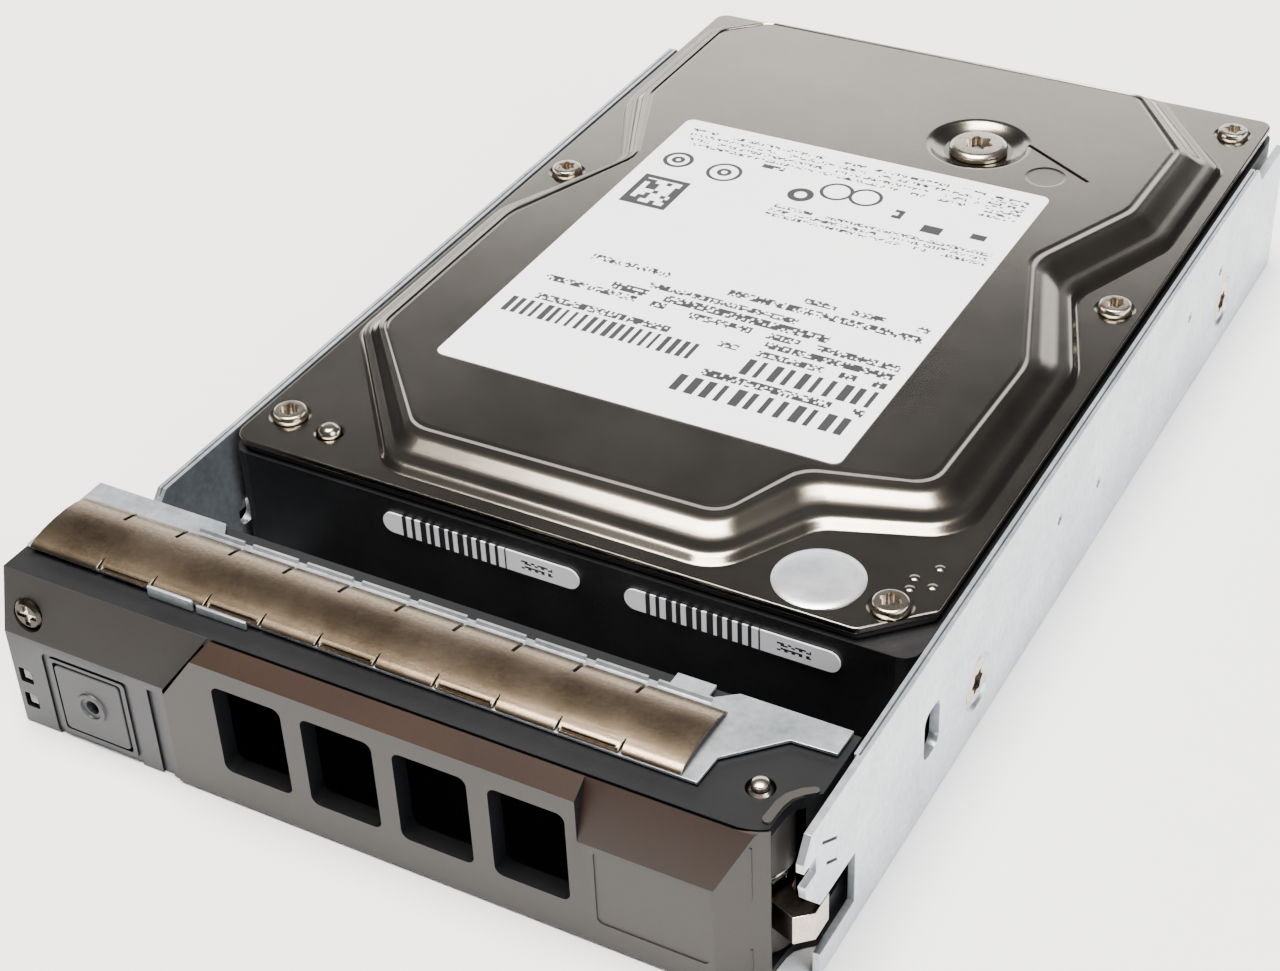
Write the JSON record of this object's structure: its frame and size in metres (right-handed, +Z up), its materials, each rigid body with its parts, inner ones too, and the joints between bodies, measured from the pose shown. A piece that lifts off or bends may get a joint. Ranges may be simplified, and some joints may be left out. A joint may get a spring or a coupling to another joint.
{
  "type": "hard disk drive",
  "caption": "Hard disk drive in a sheet-metal hot-swap tray with a latching front handle, release button, light pipes and spinning discs inside.",
  "frame": {"origin": "bottom centre of the whole object's box, with the handle closed", "axes": "+X to the right seen from the front, +Y back from the handle to the connector, +Z up through the drive's cover"},
  "size_m": [0.1134, 0.185, 0.0279],
  "materials": {
    "black_casting": "satin",
    "satin_steel": "satin",
    "zinc": "satin",
    "steel": "satin",
    "spring_steel": "polished",
    "aluminium": "satin",
    "mirror": "polished",
    "magnet": "satin",
    "copper": "satin",
    "black_plastic": "matte",
    "dark_plastic": "matte",
    "grey_plastic": "satin",
    "white_plastic": "matte",
    "clear_plastic": "gloss",
    "gasket_rubber": "matte",
    "foam": "matte",
    "label_paper": "satin",
    "foil": "satin",
    "board_green": "satin"
  },
  "bodies": {
    "frame": {"base_casting": "black_casting", "top_cover": "satin_steel", "cover_gasket": "gasket_rubber", "cover_screw_1": "steel", "cover_screw_2": "steel", "cover_screw_3": "steel", "cover_screw_4": "steel", "cover_screw_5": "steel", "locating_pin": "steel", "pivot_screw": "steel", "drive_label": "label_paper", "seal_sticker": "foil", "front_label_left": "label_paper", "front_label_right": "label_paper", "circuit_board": "board_green", "board_pad": "foam", "sas_connector": "black_plastic", "motor_stator": "copper", "spindle_shaft": "steel", "pivot_shaft": "steel", "lower_yoke": "zinc", "upper_yoke": "zinc", "load_ramp": "white_plastic", "flex_bracket": "white_plastic", "air_filter": "white_plastic", "tray_right_rail": "zinc", "tray_left_rail": "zinc", "tray_rear_strap": "zinc", "mount_screw_1": "steel", "mount_screw_2": "steel", "mount_screw_3": "steel", "mount_screw_4": "steel", "bezel_body": "black_plastic", "bezel_screw": "steel", "handle_pin": "steel", "handle_spring": "steel", "button_spring": "steel", "light_pipe_upper": "clear_plastic", "light_pipe_lower": "clear_plastic", "light_pipe_holder": "black_plastic", "front_shield": "zinc", "emi_gasket": "spring_steel"},
    "disc_pack": {"spindle_hub": "aluminium", "rotor_magnet": "magnet", "platter_1": "mirror", "platter_2": "mirror", "platter_3": "mirror", "spacer_1": "aluminium", "spacer_2": "aluminium", "disc_clamp": "aluminium"},
    "head_stack": {"head_carriage": "aluminium", "pivot_bearing": "steel", "voice_coil": "copper", "suspension_1": "steel", "suspension_2": "steel", "suspension_3": "steel", "suspension_4": "steel"},
    "handle": {"handle_lever": "grey_plastic", "handle_claw": "steel"},
    "release_button": {"release_button": "dark_plastic"}
  },
  "joints": [
    {"name": "spindle", "type": "hinge", "parent": "frame", "child": "disc_pack", "pos_m": [0.00335, -0.004, 0.0154], "axis": [0, 0, 1], "continuous": true},
    {"name": "head_pivot", "type": "hinge", "parent": "frame", "child": "head_stack", "pos_m": [0.01525, 0.0619, 0.0154], "axis": [0, 0, 1], "range_deg": [0, 28]},
    {"name": "handle_hinge", "type": "hinge", "parent": "frame", "child": "handle", "pos_m": [0.04815, -0.0828, 0.0124], "axis": [0, 0, 1], "range_deg": [0, 50], "deforming": ["handle_spring"]},
    {"name": "button_slide", "type": "slide", "parent": "frame", "child": "release_button", "axis": [0, 1, 0], "range_m": [0, 0.002], "stiffness_N_per_m": 400, "deforming": ["button_spring"]}
  ]
}
